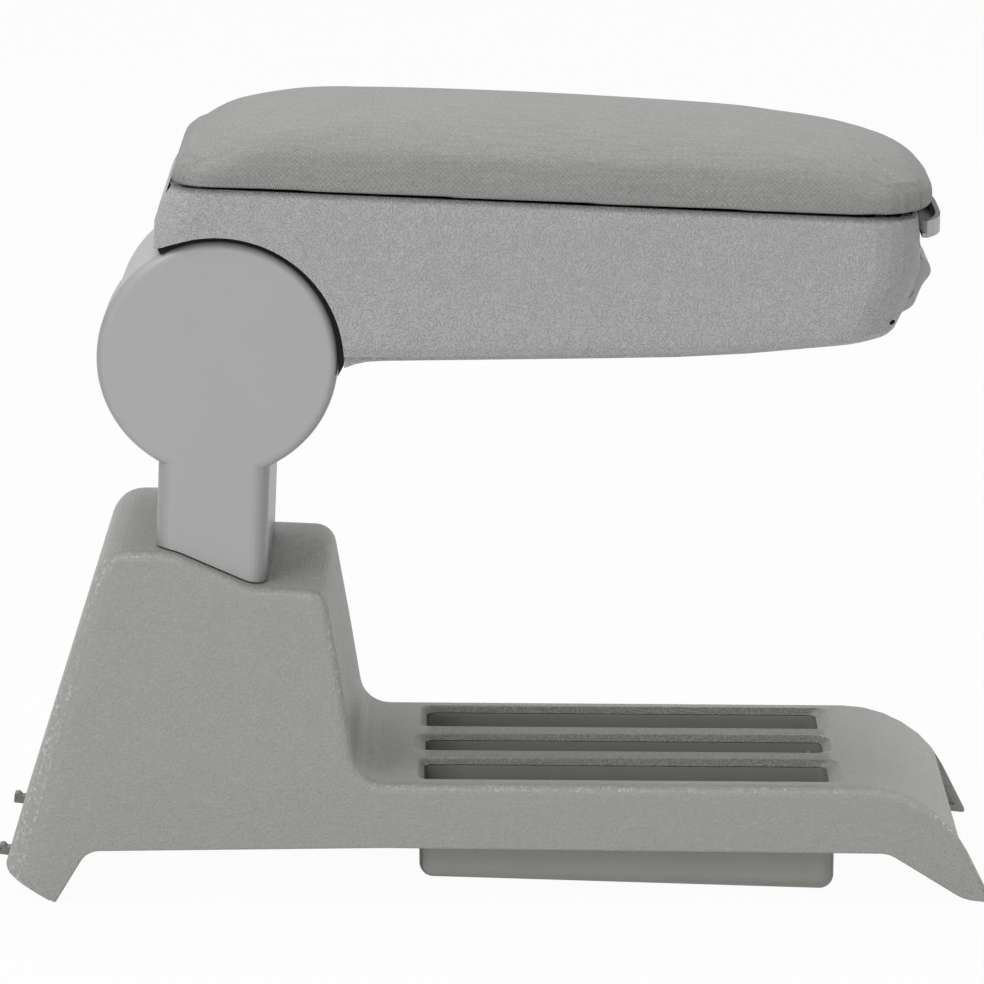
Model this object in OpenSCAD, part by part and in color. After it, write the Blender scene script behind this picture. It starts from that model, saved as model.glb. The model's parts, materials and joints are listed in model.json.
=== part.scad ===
// Centre armrest for a car, on a console base with three pen and coin slots.
// X runs from the rear clips to the nose, Y across the car, Z up; the feet stand on Z = 0.

/* [Console base] */
// Width of the console base at its lower edge
base_w = 130; // [120:1:136]
// How far each side wall leans in over 100 mm of height
base_lean = 5.6; // [3:0.1:7]
// Wall thickness of the base moulding
base_wall = 3; // [2:0.25:3.5]
// Rounding along the outer edges of the base
base_round = 4; // [3:0.5:5]
// Height of the tray surface where it meets the tower
tray_z = 51; // [49:0.5:54]
// Height of the lower edge of the side walls
skirt_z = 22.5; // [18:0.5:24]
// Height of the tower top at its rear
tower_rear_z = 148.8; // [146:0.4:150]
// Height of the tower top at its front
tower_front_z = 133.2; // [131:0.4:135]
// Front end of the tail
tail_x = 208; // [204:1:214]

/* [Slots and slot box] */
// Rear end of the slots
slot_rear = -31; // [-36:1:-24]
// Front end of the slots
slot_front = 146; // [138:1:150]
// Width of the middle slot
slot_mid_w = 26; // [20:1:28]
// Rib between two slots
slot_rib = 9.5; // [8:0.5:12]
// Flat edge of the tray beside each outer slot
slot_margin = 3.7; // [3:0.1:8]
// Wall of the slot box under the tray
box_wall = 2; // [1.5:0.25:2.5]
// Height of the slot box floor at its rear end
box_rear_z = 7.2; // [6:0.2:10]
// Height of the slot box floor at its front end
box_front_z = 2; // [1.6:0.2:5]

/* [Column] */
// Pivot of the armrest, along X
pivot_x = -112; // [-114:0.5:-110]
// Pivot of the armrest, height
pivot_z = 228; // [226:0.5:234]
// Radius of the round cover on the near side
disc_r = 49.3; // [48:0.1:50]
// Radius of the drum behind it
drum_r = 47.1; // [46:0.1:47.8]
// Half width of the drum, from the middle to each round face
drum_half = 52.5; // [50:0.5:54]
// Length of the stem along X
stem_len = 45.8; // [42:0.2:48]
// Half width of the stem behind the seam
stem_half = 49.5; // [46:0.5:50]
// Forward lean of the stem in degrees
stem_lean = 2.5; // [0:0.1:4]
// Wall of the column mouldings
post_wall = 3; // [2.5:0.1:3.2]
// Diameter of the pivot shaft
shaft_d = 12; // [10:0.5:13]
// Thickness of the steel plates
plate_t = 3; // [2.5:0.5:4]
// Number of ratchet teeth
teeth = 24; // [18:1:30]

/* [Armrest] */
// Half width of the casing under the lid
case_half = 57; // [54:0.5:58]
// Wall thickness of the casing
case_wall = 3; // [2.5:0.25:3.5]
// Gap between the round cover and the casing
saddle_gap = 2.5; // [1.5:0.1:3]
// Downward slope of the lid line towards the nose, in degrees
lid_slope = 2.55; // [1.5:0.05:3.5]
// Height of the lid line at X = 0
lid_line = 295.5; // [293:0.5:298]
// Gap under the lid
lid_gap = 1.8; // [1.2:0.1:2.4]
// Crown of the padded lid above the lid line
crown = 31.8; // [28:0.2:37]
// Depth of the storage box
bin_depth = 44; // [38:0.5:45]

/* [Fits] */
// Radial clearance of a pin in a moving piece
pin_fit = 0.06; // [0.03:0.01:0.1]
// Clearance between neighbouring pieces
clear = 0.3; // [0.25:0.05:0.5]

/* [Hidden] */
$fn = 48;
base_half = base_w / 2;
lean = base_lean / 100;
eps = 0.05;

// Side outline of the base: corners [x, z, radius]
foot_rear = [-203.3, 12];
foot_tip = [-181.5, 0];
rear_top = [-159.8, tower_rear_z];
tower_front = [-68.6, tower_front_z - 0.9];
tray_start = -55.5;
tray_end = 183.4;
tray_drop = 1.8;
skin_corners = [
    [foot_rear.x, foot_rear.y, 5],
    [rear_top.x, rear_top.y, 14],
    [-132.6, tower_rear_z, 30],
    [-98.4, tower_front_z + 0.4, 25],
    [tower_front.x, tower_front.y, 9],
    [-61.5, 90, 60],
    [tray_start, tray_z, 13],
    [tray_end, tray_z - tray_drop, 50],
    [tail_x, 0, 1]
];
under_corners = [
    [tail_x - 12, 1.3, 20],
    [tail_x - 43.5, skirt_z - 1.5, 12],
    [-45, skirt_z + 1, 0],
    [-168, skirt_z - 0.4, 9],
    [foot_tip.x, foot_tip.y, 1]
];
base_corners = concat(skin_corners, under_corners);

// Slots
slot_edge = base_half - lean * tray_z - base_round - slot_margin;
slot_side_w = slot_edge - slot_mid_w / 2 - slot_rib;
slot_side_y = slot_edge - slot_side_w / 2;
slot_corner = 5;
slot_draft = [2.6, 5.3, 1];
tray_tilt = atan(tray_drop / (tray_end - tray_start));

// Column
disc_rim = 4;
face_wall = post_wall + 0.4;
cover_split = -27;
saddle_r = max(disc_r, drum_r) + saddle_gap;
saddle_from = -1.6;
saddle_to = 118;
slot_from = 1;
slot_to = 116;
shaft_r = shaft_d / 2;
plate_y = 16;
plate_half = 15;
cheek_y = 8;
cheek_t = 4;
frame_top_r = 18;
foot_z = 23;
foot_t = 4;
screw_d = 4;
ratchet_r = 24;
ratchet_root = 20.5;

// Release train
lever_x = 162;
lever_z = 245;
lever_arm = 9.5;
pawl_x = -78;
pawl_z = 236;
pawl_arm = 8.5;
pin_r = 1.5;
latch_x = 167;
latch_z = 277;

// Lid hinge, at the rear end of the lid line
hinge_x = -128.2;
hinge_r = 2.6;
hinge_pin_r = 1.25;

function lid_z(x) = lid_line - x * tan(lid_slope);
hinge_z = lid_z(hinge_x) - 2;

// Geometry helpers
function unit(v) = v / norm(v);
function mix(a, b, t) = a + (b - a) * t;

// Arc of radius r in the corner b between a and c
function corner_arc(a, b, c, r, n) =
    let (
        o = [b.x, b.y],
        u = unit([a.x, a.y] - o),
        w = unit([c.x, c.y] - o),
        half = acos(u * w) / 2,
        m = o + unit(u + w) * r / sin(half),
        p = o + u * r / tan(half) - m,
        q = o + w * r / tan(half) - m,
        s = atan2(p.y, p.x),
        d = atan2(q.y, q.x) - s,
        e = d > 180 ? d - 360 : d < -180 ? d + 360 : d
    )
    [for (i = [0:n]) m + r * [cos(s + e * i / n), sin(s + e * i / n)]];

// Closed outline from corners [x, y, radius]
function rounded(c, n = 6) =
    [for (i = [0:len(c) - 1])
        let (b = c[i], a = c[(i + len(c) - 1) % len(c)], d = c[(i + 1) % len(c)])
        each (b[2] > 0 ? corner_arc(a, b, d, b[2], n) : [[b.x, b.y]])];

// Rounding of the base at a point of its outline: [along X, along Z, along Y]. It is full
// on the skin, little along the lower edges and broad down the rear corners.
rear_band = [8, 18];
function edge_round(p, inward, r) =
    p.y < 18 && p.x < -190 ? concat(rear_band[1] * unit(foot_tip - foot_rear), 9)
        : p.x < -150 && p.y > 100 && p.y < tower_rear_z - 3 ? concat(rear_band[0] * inward, 6)
        : let (
            share = p.y < skirt_z + 4 && p.x < tail_x - 20 ? 0.25
                : p.x > 178 ? max(0.3, 1 - (p.x - 178) / 22) : 1
        ) concat(r * share * inward, r * share);

// Solid of a side outline across the width, leaning in with height, with rounded edges
module rounded_slab(path, half, r, steps = 5) {
    n = len(path);
    inward = [for (i = [0:n - 1])
        let (d = unit(path[(i + 1) % n] - path[(i + n - 1) % n])) [d.y, -d.x]];
    turns = concat(
        [for (k = [0:steps]) [-1, 90 * k / steps]],
        [for (k = [steps:-1:0]) [1, 90 * k / steps]]
    );
    points = [for (t = turns) for (i = [0:n - 1])
        let (
            e = edge_round(path[i], inward[i], r),
            p = path[i] + [e[0], e[1]] * (1 - sin(t[1])),
            y = half - lean * p.y - e[2] * (1 - cos(t[1]))
        )
        [p.x, t[0] * y, p.y]];
    sides = [for (j = [0:len(turns) - 2]) for (i = [0:n - 1])
        let (a = j * n + i, b = j * n + (i + 1) % n)
        each [[a, a + n, b + n], [a, b + n, b]]];
    last = (len(turns) - 1) * n;
    caps = [
        [for (i = [0:n - 1]) i],
        [for (i = [n - 1:-1:0]) last + i]
    ];
    polyhedron(points, concat(sides, caps), convexity = 6);
}

// Plan outline from the rear xr to the front xf, symmetric about Y = 0
function plan(xr, xf, half, rr, rf, bow, q = 6, m = 9) =
    let (
        end = min(half * 0.35, (half - rf) * 0.6),
        side = concat(
            [for (i = [0:q]) let (a = 180 - 90 * i / q)
                [xr + rr + rr * cos(a), half - rr + rr * sin(a)]],
            [for (i = [1:m - 1]) [mix(xr + rr, xf - rf - bow, i / m), half]],
            [for (i = [0:q]) let (a = 90 - 90 * i / q, y = half - rf + rf * sin(a))
                [xf - rf + rf * cos(a) - bow * pow(y / half, 2), y]],
            [[xf - bow * pow(end / half, 2), end]]
        )
    )
    concat(side, [for (i = [len(side) - 1:-1:0]) [side[i].x, -side[i].y]]);

// Closed solid through rings of plan outlines with heights, both ends closed by strips
module skin(rings) {
    n = len(rings[0]);
    last = (len(rings) - 1) * n;
    sides = [for (j = [0:len(rings) - 2]) for (i = [0:n - 1])
        let (a = j * n + i, b = j * n + (i + 1) % n)
        each [[a, b, b + n], [a, b + n, a + n]]];
    ends = [for (i = [0:n / 2 - 2])
        let (a = i, b = i + 1, c = n - 2 - i, d = n - 1 - i)
        each [[a, c, b], [a, d, c], [last + a, last + b, last + c], [last + a, last + c, last + d]]];
    polyhedron([for (r = rings) each r], concat(sides, ends), convexity = 6);
}

// Cylinder along Y between two places
module rod_y(x, z, r, y0, y1) {
    translate([x, y0, z]) rotate([-90, 0, 0]) cylinder(r = r, h = y1 - y0);
}

// Side outline given in X and Z, extruded between two places in Y
module side_plate(y0, y1) {
    translate([0, y1, 0]) rotate([90, 0, 0]) linear_extrude(y1 - y0) children();
}

// Sector of a ring about the pivot, in the side plane
module ring_sector(r0, r1, a0, a1) {
    translate([pivot_x, pivot_z]) intersection() {
        difference() {
            circle(r = r1, $fn = 96);
            circle(r = r0, $fn = 96);
        }
        polygon(concat([[0, 0]], [for (i = [0:4]) let (a = mix(a0, a1, i / 4)) 2 * r1 * [cos(a), sin(a)]]));
    }
}

// Frame whose Z = 0 is the lid line
module on_lid_line() {
    translate([0, 0, lid_line]) rotate([0, lid_slope, 0]) children();
}

// Round-ended slot standing on Z = 0
module slot_block(x0, x1, y, w, h, r) {
    hull() for (x = [x0 + r, x1 - r], s = [-1, 1])
        translate([x, y + s * (w / 2 - r), 0]) cylinder(r = r, h = h, $fn = 24);
}

// Pan head screw pointing down, its head resting on Z = 0
module screw(d, length, head = 1.9) {
    translate([0, 0, -length]) cylinder(d = d, h = length);
    difference() {
        cylinder(d = d * head, h = d * 0.6);
        for (a = [0, 90]) rotate(a) translate([-d * 0.7, -d * 0.11, d * 0.3])
            cube([d * 1.4, d * 0.22, d]);
    }
}

// Torsion spring round a pin along Y: a helix from the angle a0 to a1 with two straight legs
module torsion_spring(x, z, y0, a0, a1, wire, r, leg) {
    steps = ceil((a1 - a0) / 36);
    sides = 6;
    pitch = wire * 1.12;
    function turn(i) = mix(a0, a1, min(max(i - 1, 0), steps) / steps);
    function past(i) = i == 0 ? -leg : i == steps + 2 ? leg : 0;
    points = [for (i = [0:steps + 2]) let (a = turn(i)) for (k = [0:sides - 1])
        let (b = 360 * k / sides, rr = r + wire / 2 * cos(b))
        [x + rr * cos(a) - past(i) * sin(a), y0 + wire * 0.6 + pitch * (a - a0) / 360 + wire / 2 * sin(b),
            z + rr * sin(a) + past(i) * cos(a)]];
    faces = [for (i = [0:steps + 1]) for (k = [0:sides - 1])
        let (a = i * sides + k, b = i * sides + (k + 1) % sides)
        each [[a, b + sides, b], [a, a + sides, b + sides]]];
    last = (steps + 2) * sides;
    ends = [for (k = [1:sides - 2]) each [[0, k, k + 1], [last, last + k + 1, last + k]]];
    polyhedron(points, concat(faces, ends), convexity = 8);
}

// Console base
module base_cavity() {
    inner = base_half - base_wall;
    intersection() {
        side_plate(-base_half, base_half) {
            for (drop = [0, 6]) translate([0, -drop])
                offset(delta = -base_wall) polygon(rounded(base_corners));
        }
        difference() {
            hull() {
                translate([-250, -inner, -10]) cube([500, 2 * inner, 1]);
                translate([-250, -inner + lean * 160, 160]) cube([500, 2 * (inner - lean * 160), 1]);
            }
            for (s = [-1, 1]) rear_corner(s);
        }
    }
}

// Solid corner behind the broad rounding at the rear
module rear_corner(s) {
    top_half = base_half - lean * tower_rear_z;
    hull() {
        translate([foot_rear.x - 6, s > 0 ? base_half - 14.5 : -base_half - 5, -2]) cube([1, 19.5, 1]);
        translate([foot_rear.x + rear_band[1] + 4, s > 0 ? base_half - 2.6 : -base_half - 5, -2])
            cube([1, 7.6, 1]);
        translate([rear_top.x - 6, s > 0 ? top_half - 10 : -top_half - 5, tower_rear_z]) cube([1, 15, 1]);
        translate([rear_top.x + rear_band[0] + 5, s > 0 ? top_half - 2.6 : -top_half - 5, tower_rear_z])
            cube([1, 7.6, 1]);
    }
}

boss_x = [-150, -76];
boss_y = base_half - 21;
module base_boss(x, s) {
    hull() {
        translate([x, s * boss_y, foot_z + foot_t]) cylinder(d = 10, h = 22);
        translate([x - 5, s * (base_half - base_wall) - 1, foot_z + foot_t]) cube([10, 2, 22]);
    }
}

module console_base() {
    $fn = 24;
    color("darkgray") difference() {
        union() {
            difference() {
                rounded_slab(rounded(base_corners), base_half, base_round);
                base_cavity();
            }
            intersection() {
                for (x = boss_x, s = [-1, 1]) base_boss(x, s);
                translate([-250, -base_half + 1, 0]) cube([500, base_w - 2, 160]);
            }
            for (x = [5, 60, 115], s = [-1, 1]) tray_stay(x, s);
        }
        for (x = boss_x, s = [-1, 1])
            translate([x, s * boss_y, foot_z]) cylinder(d = screw_d + 2 * clear, h = 18);
        on_tray() {
            slot_cut(slot_rear - 2.4, slot_front - 1.6, 0, slot_mid_w, slot_corner + 3);
            for (s = [-1, 1])
                slot_cut(slot_rear, slot_front, s * slot_side_y, slot_side_w, slot_corner);
        }
        translate([tray_end + 8.5, -base_half + base_wall + lean * 28, -1])
            cube([40, base_w - 2 * base_wall - 2 * lean * 28, 28.5]);
        post_opening();
        for (s = [-1, 1]) translate([clip_x - 0.5, s * clip_y - clip_w / 2 - clear, clip_z - clear])
            cube([14.5, clip_w + 2 * clear, clip_t + 2 * clear]);
    }
}

// Frame whose Z = 0 is the sloping tray surface
module on_tray() {
    translate([tray_start, 0, tray_z]) rotate([0, tray_tilt, 0]) translate([-tray_start, 0, 0])
        children();
}

// One slot through the tray, drafted down to the mouth of its pocket
module slot_cut(x0, x1, y, w, r) {
    hull() {
        slot_block(x0, x1, y, w, 6, r);
        translate([0, 0, -base_wall]) pocket_mouth(y, w);
    }
    translate([0, 0, -base_wall - 4]) pocket_mouth(y, w, 5);
}

module pocket_mouth(y, w, h = 1) {
    slot_block(slot_rear + slot_draft[0], slot_front - slot_draft[1], y, w - 2 * slot_draft[2], h, 4);
}

// Stays between the tray and the side walls, beside the slot box
module tray_stay(x, s) {
    outer = base_half - base_wall + 1 - lean * 30;
    hull() {
        translate([x - 1, min(s * outer, s * (outer - 4)), tray_z - 8]) cube([2, 4, 6]);
        translate([x - 1, min(s * outer, s * (outer - 2)), skirt_z + 4]) cube([2, 2, 4]);
    }
}

// Hole in the tower top for the steel post
module post_opening() {
    translate([pivot_x - plate_half - 6, -plate_y - plate_t - 3, 110])
        cube([2 * plate_half + 8, 2 * (plate_y + plate_t + 3), 60]);
}

// Slot box under the tray
box_rear = slot_rear + slot_draft[0] - box_wall;
box_front = slot_front - slot_draft[1] + box_wall;
box_half = slot_edge - slot_draft[2] + box_wall;
pocket_floor = box_rear_z + box_wall;
module box_body(grow, floor_up) {
    hull() for (e = [[box_rear, box_rear_z], [box_front, box_front_z]], s = [-1, 1]) {
        x = e[0] == box_rear ? e[0] + 6 : e[0] - 6;
        translate([x, s * (box_half - 6), e[1] + 6 + floor_up]) sphere(r = 6 + grow, $fn = 24);
        translate([x, s * (box_half - 6), tray_z - base_wall - 12]) cylinder(r = 6 + grow, h = 4, $fn = 24);
    }
}

module slot_box() {
    color("gray") {
        difference() {
            union() {
                box_body(0, 0);
                translate([0, 0, tray_z - base_wall - 12]) slot_block(box_rear, box_front, 0,
                    2 * box_half, 9.2, 6);
                box_flange();
            }
            pocket(0, slot_mid_w, 3);
            for (s = [-1, 1]) {
                pocket(s * slot_side_y, slot_side_w, 4.5);
                // The ribs between the pockets are hollow from below
                slot_block(slot_rear + 10, slot_front - 14, s * (slot_mid_w + slot_rib) / 2,
                    slot_rib - 3, tray_z - 16, 3);
            }
        }
        // Dividers near both ends of the middle pocket
        for (x = [slot_rear + 8, slot_front - 11.5])
            translate([x, -slot_mid_w / 2, box_rear_z]) cube([1.6, slot_mid_w, tray_z - box_rear_z - 8]);
    }
}

// Top of the box, just under the sloping tray
module box_flange() {
    on_tray() translate([0, 0, -base_wall - clear - 3])
        slot_block(slot_rear - 6, slot_front + 3, 0, 2 * (box_half + 0.6), 3, 8);
}

// One pocket of the box, narrowing towards its floor
module pocket(y, w, inset) {
    hull() {
        translate([0, 0, pocket_floor]) slot_block(slot_rear + inset + 3, slot_front - inset - 5, y,
            w - 2 * inset, 1, 3);
        on_tray() translate([0, 0, -base_wall]) pocket_mouth(y, w);
    }
}

// Rear clips that hook into the car's tunnel trim
clip_y = 36;
clip_x = foot_rear.x - 0.7;
clip_z = 12.6;
clip_w = 5;
clip_t = 3.2;
module rear_clips() {
    color("dimgray") for (s = [-1, 1]) translate([clip_x, s * clip_y, clip_z]) {
        translate([0, -clip_w / 2, 0]) cube([13, clip_w, clip_t]);
        translate([0, clip_w / 2, 0]) rotate([90, 0, 0]) linear_extrude(clip_w) polygon([
            [0.5, 0], [-3, 0.5], [-3, 2.2], [-1.9, 2.2], [-1.9, 3.2], [-3, 3.2], [-2.6, 4.4],
            [-0.8, 4.6], [0.5, clip_t]
        ]);
        translate([11, -clip_w / 2 - 2.5, -2]) cube([2, clip_w + 5, clip_t + 4]);
    }
}

// Steel post, welded from two side plates, two cross plates and a foot plate
foot_x0 = -158;
foot_x1 = -66;
mount_x = [-148, -78];
mount_y = 26;
mount_d = 8.5;
module post_side() {
    side_plate(0, plate_t) union() {
        translate([pivot_x, pivot_z]) circle(r = frame_top_r);
        translate([pivot_x - plate_half, foot_z + foot_t - eps])
            square([2 * plate_half, pivot_z - foot_z - foot_t]);
    }
}

module post_frame() {
    color("silver") difference() {
        union() {
            translate([0, plate_y, 0]) post_side();
            translate([0, -plate_y - plate_t, 0]) post_side();
            for (x = [pivot_x - plate_half, pivot_x + plate_half - plate_t])
                translate([x, -plate_y - eps, foot_z + foot_t - eps])
                    cube([plate_t, 2 * plate_y + 2 * eps, 145]);
            translate([foot_x0, -boss_y - 8, foot_z]) cube([foot_x1 - foot_x0, 2 * boss_y + 16, foot_t]);
        }
        rod_y(pivot_x, pivot_z, shaft_r + pin_fit, -40, 40);
        for (x = mount_x, s = [-1, 1])
            translate([x, s * mount_y, foot_z - 1]) cylinder(d = mount_d, h = foot_t + 2);
        for (x = boss_x, s = [-1, 1])
            translate([x, s * boss_y, foot_z - 1]) cylinder(d = screw_d + 2 * pin_fit, h = foot_t + 2);
        for (z = stem_boss_z)
            rod_y(pivot_x, z, screw_d / 2 + pin_fit, -40, 40);
        translate([pivot_x, 0, 60]) rotate([0, 90, 0]) cylinder(d = 20, h = 60, center = true);
    }
}

// Screws up through the foot plate into the base bosses
module base_screws() {
    color("dimgray") for (x = boss_x, s = [-1, 1])
        translate([x, s * boss_y, foot_z]) mirror([0, 0, 1]) screw(screw_d, 15);
}

// Column covers
stem_boss_z = [158, 176];
stem_bottom = [
    [-180, tower_rear_z + 0.7, 0],
    [-132.6, tower_rear_z + 0.7, 30],
    [-98.4, tower_front_z + 1.1, 25],
    [-60, tower_front_z - 0.8, 0]
];

// Everything above the tower top, as a side outline
module above_tower() {
    polygon(rounded(concat(stem_bottom, [[-60, 300, 0], [-180, 300, 0]])));
}

// Leaning stem between two places in Y, with its outer edges rounded
module stem_column(y0, y1, round_low, round_high, inset) {
    r = 8 - inset;
    len = stem_len - 2 * inset;
    low = round_low ? r : 0;
    high = round_high ? r : 0;
    translate([pivot_x - 1.3, 0, pivot_z - 30]) rotate([0, stem_lean, 0])
        translate([0, 0, -80]) linear_extrude(90) polygon(rounded([
            [-len / 2, y0, low], [len / 2, y0, low], [len / 2, y1, high], [-len / 2, y1, high]
        ], 8));
}

// Stem cut off at its foot to follow the tower top
module stem_block(y0, y1, round_low, round_high) {
    intersection() {
        stem_column(y0, y1, round_low, round_high, 0);
        side_plate(y0 - 1, y1 + 1) above_tower();
    }
}

// Drum end: a disc with a rounded rim, its face at height h
module drum_end(r, h, rim) {
    rotate_extrude($fn = 96) {
        square([r - rim, h]);
        square([r, h - rim]);
        translate([r - rim, h - rim]) intersection() {
            circle(r = rim);
            square(rim);
        }
    }
}

module post_cover() {
    color("lightgray") difference() {
        union() {
            translate([pivot_x, cover_split + 2, pivot_z]) rotate([90, 0, 0])
                drum_end(disc_r, drum_half + cover_split + 2, disc_rim);
            stem_block(-drum_half, cover_split + 2, true, false);
        }
        translate([-200, cover_split, 100]) cube([160, 10, 200]);
        translate([pivot_x, cover_split + 1, pivot_z]) rotate([90, 0, 0])
            cylinder(r = drum_r - post_wall, h = drum_half + cover_split + 1 - face_wall, $fn = 96);
        stem_column(-drum_half + face_wall, cover_split + 1, true, false, post_wall);
    }
    color("lightgray") for (z = stem_boss_z) difference() {
        rod_y(pivot_x, z, 5, -drum_half + face_wall - 0.5, -plate_y - plate_t);
        rod_y(pivot_x, z, screw_d / 2 + pin_fit, -plate_y - plate_t - 14, -plate_y);
    }
}

module post_shell() {
    color("lightgray") difference() {
        union() {
            translate([pivot_x, cover_split - 2, pivot_z]) rotate([-90, 0, 0])
                drum_end(drum_r, drum_half - cover_split + 2, disc_rim);
            stem_block(cover_split - 2, stem_half, false, true);
        }
        translate([-200, cover_split - 10, 100]) cube([160, 10, 200]);
        translate([pivot_x, cover_split - 1, pivot_z]) rotate([-90, 0, 0])
            cylinder(r = drum_r - post_wall, h = drum_half - cover_split + 1 - face_wall, $fn = 96);
        stem_column(cover_split - 1, stem_half - post_wall, false, true, post_wall);
        side_plate(-cheek_y - cheek_t - 2.5, cheek_y + cheek_t + 2.5)
            ring_sector(drum_r - 8, drum_r + 4, slot_from, slot_to);
        for (z = stem_boss_z) {
            rod_y(pivot_x, z, 4.2, stem_half - 3.4, stem_half + 4);
        }
    }
    color("lightgray") for (z = stem_boss_z) difference() {
        rod_y(pivot_x, z, 6.4, plate_y + plate_t, stem_half - 2);
        rod_y(pivot_x, z, screw_d / 2 + pin_fit, plate_y, stem_half + 4);
        rod_y(pivot_x, z, 4.2, stem_half - 6, stem_half + 4);
    }
}

module shell_screws() {
    color("dimgray") for (z = stem_boss_z)
        translate([pivot_x, stem_half - 6, z]) rotate([-90, 0, 0]) screw(screw_d, 68);
}

// Pivot
module pivot_shaft() {
    color("silver") {
        rod_y(pivot_x, pivot_z, shaft_r, -plate_y - plate_t, plate_y + plate_t + 9);
        rod_y(pivot_x, pivot_z, shaft_r + 3.5, -plate_y - plate_t - 5, -plate_y - plate_t);
    }
}

module shaft_nut() {
    color("dimgray") translate([pivot_x, plate_y + plate_t, pivot_z]) rotate([-90, 0, 0]) difference() {
        cylinder(r = shaft_r + 5, h = 8, $fn = 6);
        translate([0, 0, -1]) cylinder(r = shaft_r + 0.02, h = 10, $fn = 48);
    }
}

module ratchet_wheel() {
    step = 360 / teeth;
    outline = [for (i = [0:teeth - 1]) each [
        ratchet_r * [cos(i * step), sin(i * step)],
        ratchet_r * [cos(i * step + step * 0.14), sin(i * step + step * 0.14)],
        ratchet_root * [cos(i * step + step * 0.30), sin(i * step + step * 0.30)],
        ratchet_root * [cos(i * step + step * 0.48), sin(i * step + step * 0.48)]
    ]];
    color("darkgray") difference() {
        union() {
            translate([pivot_x, 4, pivot_z]) rotate([90, 0, 0]) linear_extrude(8) polygon(outline);
            rod_y(pivot_x, pivot_z, shaft_r + 4, -cheek_y + clear, cheek_y - clear);
        }
        rod_y(pivot_x, pivot_z, shaft_r + 0.02, -20, 20);
    }
}

module pivot_bushes() {
    color("ivory") for (s = [-1, 1]) difference() {
        union() {
            rod_y(pivot_x, pivot_z, shaft_r + 2, s > 0 ? cheek_y : -cheek_y - cheek_t - eps,
                s > 0 ? cheek_y + cheek_t + eps : -cheek_y);
            rod_y(pivot_x, pivot_z, shaft_r + 5, s > 0 ? cheek_y + cheek_t : -plate_y + 0.05,
                s > 0 ? plate_y - 0.05 : -cheek_y - cheek_t);
        }
        rod_y(pivot_x, pivot_z, shaft_r + pin_fit, -30, 30);
    }
}

// Steel arm: two cheeks on the shaft, joined to a plate on the casing floor
floor_seat = 235.4;
arm_plate_front = 62;
module arm_cheek() {
    side_plate(0, cheek_t) difference() {
        union() {
            translate([pivot_x, pivot_z]) circle(r = 15);
            polygon([
                [pivot_x, pivot_z + 15], [pivot_x + 20, pivot_z + 19], [-50, pivot_z + 19],
                [-24, floor_seat + plate_t], [-24, floor_seat], [-57, floor_seat],
                [-66, pivot_z + 3], [pivot_x + 14, pivot_z + 3], [pivot_x, pivot_z - 15]
            ]);
        }
        translate([pivot_x, pivot_z]) circle(r = shaft_r + 2 + 0.02);
        translate([pawl_x, pawl_z]) circle(r = pin_r + 0.02);
    }
}

module arm_frame() {
    color("silver") {
        translate([0, cheek_y, 0]) arm_cheek();
        translate([0, -cheek_y - cheek_t, 0]) arm_cheek();
        difference() {
            translate([-55, -32, floor_seat]) cube([arm_plate_front + 55, 64, plate_t]);
            for (x = frame_screw_x, s = [-1, 1])
                translate([x, s * 25, floor_seat - 1]) cylinder(d = screw_d + 2 * pin_fit, h = plate_t + 2);
            translate([-56, -cheek_y, floor_seat - 1]) cube([27, 2 * cheek_y, plate_t + 2]);
        }
    }
}

frame_screw_x = [-38, 50];
module frame_screws() {
    color("dimgray") for (x = frame_screw_x, s = [-1, 1])
        translate([x, s * 25, floor_seat + plate_t]) screw(screw_d, plate_t + 2);
}

// Curved shutter inside the drum: it closes the slot behind the arm when the arm is up
module slot_shutter() {
    color("dimgray") {
        side_plate(-plate_y + 1, plate_y - 1)
            ring_sector(drum_r - post_wall - 2.2, drum_r - post_wall - 0.5, -88, 2.6);
        for (s = [-1, 1]) side_plate(s > 0 ? cheek_y + cheek_t : -cheek_y - cheek_t - 1.8,
                s > 0 ? cheek_y + cheek_t + 1.8 : -cheek_y - cheek_t) {
            ring_sector(17.5, drum_r - post_wall - 0.5, -25, 2.6);
            ring_sector(17.5, 30, -25, 14);
        }
    }
}

// Armrest casing: rows [height share, rear x, front x, half width]
case_rows = [
    [0.00, -138.2, 160, case_half - 5.5],
    [0.03, -138.2, 164.2, case_half - 3.4],
    [0.08, -138.2, 166.6, case_half - 2.0],
    [0.17, -138.2, 168.8, case_half - 1.4],
    [0.42, -138.2, 174.2, case_half - 0.9],
    [0.52, -138.2, 175.8, case_half - 0.7],
    [0.78, -137.2, 176.3, case_half - 0.3],
    [0.90, -134.4, 176, case_half - 0.1],
    [0.96, -132, 174.6, case_half],
    [1.00, -130.4, 171.6, case_half - 1]
];
case_corner_rear = 14;
case_corner_front = 24;
case_bow = 3;
case_low = 227.8;
function case_bottom(x) =
    case_low + 0.012 * (x + 50) + (x > 60 ? 0.00066 * pow(min(x, 136) - 60, 2) : 0);
function case_top(x) = lid_z(x) - lid_gap / 2;

function case_ring(row, inset, lift) =
    [for (p = plan(row[1] + inset, row[2] - inset, row[3] - inset,
            case_corner_rear - inset, case_corner_front - inset, case_bow))
        [p.x, p.y, mix(case_bottom(p.x) + inset, case_top(p.x) + lift, row[0])]];

module case_body(inset, lift) {
    skin([for (row = case_rows) case_ring(row, inset, lift)]);
}

// Boss on the casing floor, up to a seat height
module floor_boss(x, y, top) {
    hull() {
        translate([x, y, case_bottom(x) + 1]) cylinder(d = 13, h = 1);
        translate([x, y, top - 1]) cylinder(d = 9, h = 1);
    }
}

liner_post_x = [-20, 92];
function liner_floor(x) = lid_z(x) - lid_gap / 2 - bin_depth;

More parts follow.
